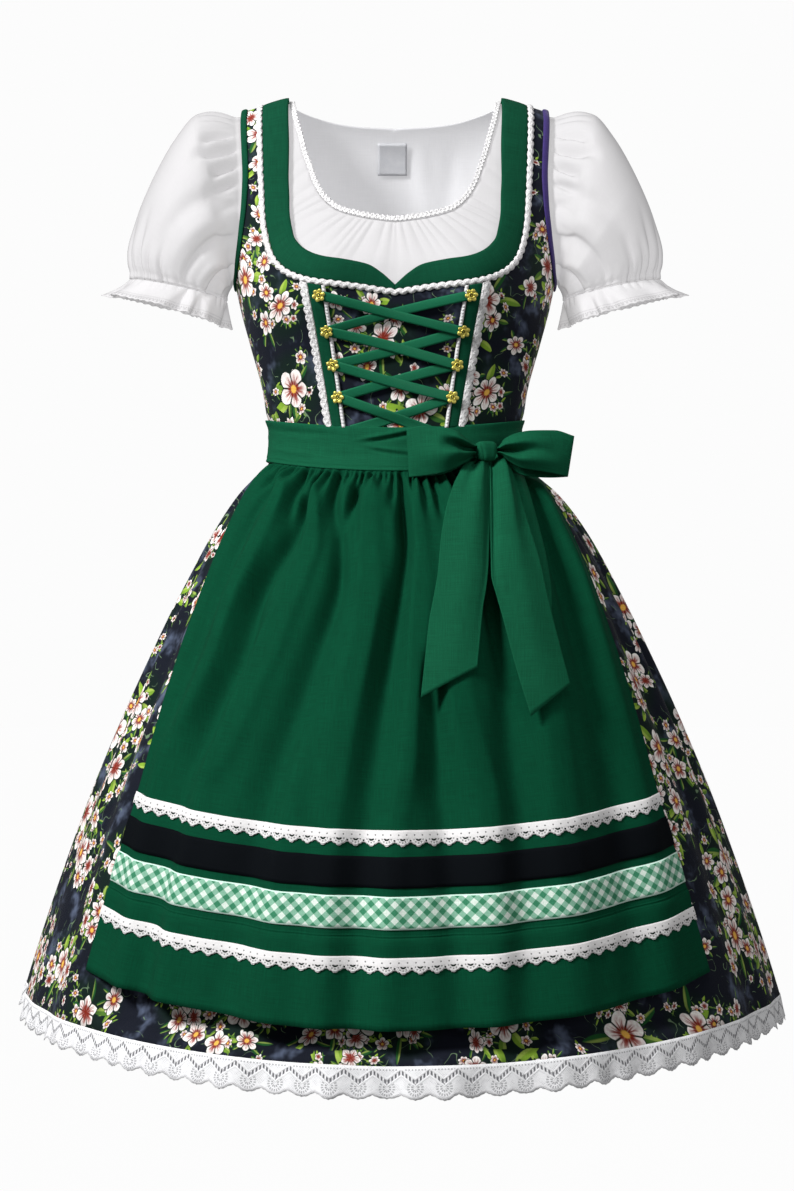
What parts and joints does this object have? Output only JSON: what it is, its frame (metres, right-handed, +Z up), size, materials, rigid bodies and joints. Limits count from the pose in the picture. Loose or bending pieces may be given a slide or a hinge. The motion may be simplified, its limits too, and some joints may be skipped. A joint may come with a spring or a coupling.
{
  "type": "dirndl dress with apron and blouse",
  "caption": "Knee-length dirndl with laced bodice and full gathered skirt, worn with its green apron tied in a bow and a white blouse with puff sleeves, hollow as worn.",
  "frame": {"origin": "the middle of the shoulder line, where the wearer's shoulders hold the garment up", "axes": "+Z up along the wearer's height, -Y towards the front of the dress, +X to the right of someone who looks at the front"},
  "size_m": [0.8075, 0.6672, 0.9908],
  "materials": {
    "flower_print_cotton": "dark navy cotton printed with pale pink and white blossoms and green leaves",
    "green_cotton": "bottle green cotton with a soft sheen",
    "purple_binding": "plain violet cotton binding",
    "lacing_ribbon": "flat bottle green ribbon",
    "blouse_batiste": "thin white cotton with a fine weave",
    "cotton_lace": "off-white cotton lace",
    "black_ribbon": "matt black ribbon",
    "gingham_cotton": "pale green and white check cut on the bias",
    "hook_metal": "cast metal with a yellow gold colour",
    "label_tape": "woven grey tape"
  },
  "bodies": {
    "root": {"apron": "green_cotton", "apron_lace_lower": "cotton_lace", "apron_lace_upper": "cotton_lace", "apron_ribbon_black": "black_ribbon", "apron_ribbon_gingham": "gingham_cotton", "apron_waistband": "green_cotton", "armhole_binding_left": "green_cotton", "armhole_binding_right": "purple_binding", "blouse_back": "blouse_batiste", "blouse_front": "blouse_batiste", "blouse_neck_lace": "cotton_lace", "bodice_back": "flower_print_cotton", "bodice_centre_front": "flower_print_cotton", "bodice_side_front_left": "flower_print_cotton", "bodice_side_front_right": "flower_print_cotton", "bow_knot": "green_cotton", "bow_loop_left": "green_cotton", "bow_loop_right": "green_cotton", "bow_tail_left": "green_cotton", "bow_tail_right": "green_cotton", "hook_left_1": "hook_metal", "hook_left_2": "hook_metal", "hook_left_3": "hook_metal", "hook_left_4": "hook_metal", "hook_right_1": "hook_metal", "hook_right_2": "hook_metal", "hook_right_3": "hook_metal", "hook_right_4": "hook_metal", "lacing_down_1": "lacing_ribbon", "lacing_down_2": "lacing_ribbon", "lacing_down_3": "lacing_ribbon", "lacing_down_4": "lacing_ribbon", "lacing_up_1": "lacing_ribbon", "lacing_up_2": "lacing_ribbon", "lacing_up_3": "lacing_ribbon", "lacing_up_4": "lacing_ribbon", "neck_label": "label_tape", "neckline_band_back": "green_cotton", "neckline_band_left": "green_cotton", "neckline_band_right": "green_cotton", "neckline_lace": "cotton_lace", "placket_lace_left": "cotton_lace", "placket_lace_right": "cotton_lace", "placket_left": "green_cotton", "placket_piping_left": "cotton_lace", "placket_piping_right": "cotton_lace", "placket_right": "green_cotton", "skirt": "flower_print_cotton", "skirt_hem_lace": "cotton_lace", "sleeve_frill_left": "blouse_batiste", "sleeve_frill_right": "blouse_batiste", "sleeve_left": "blouse_batiste", "sleeve_right": "blouse_batiste"}
  },
  "joints": []
}
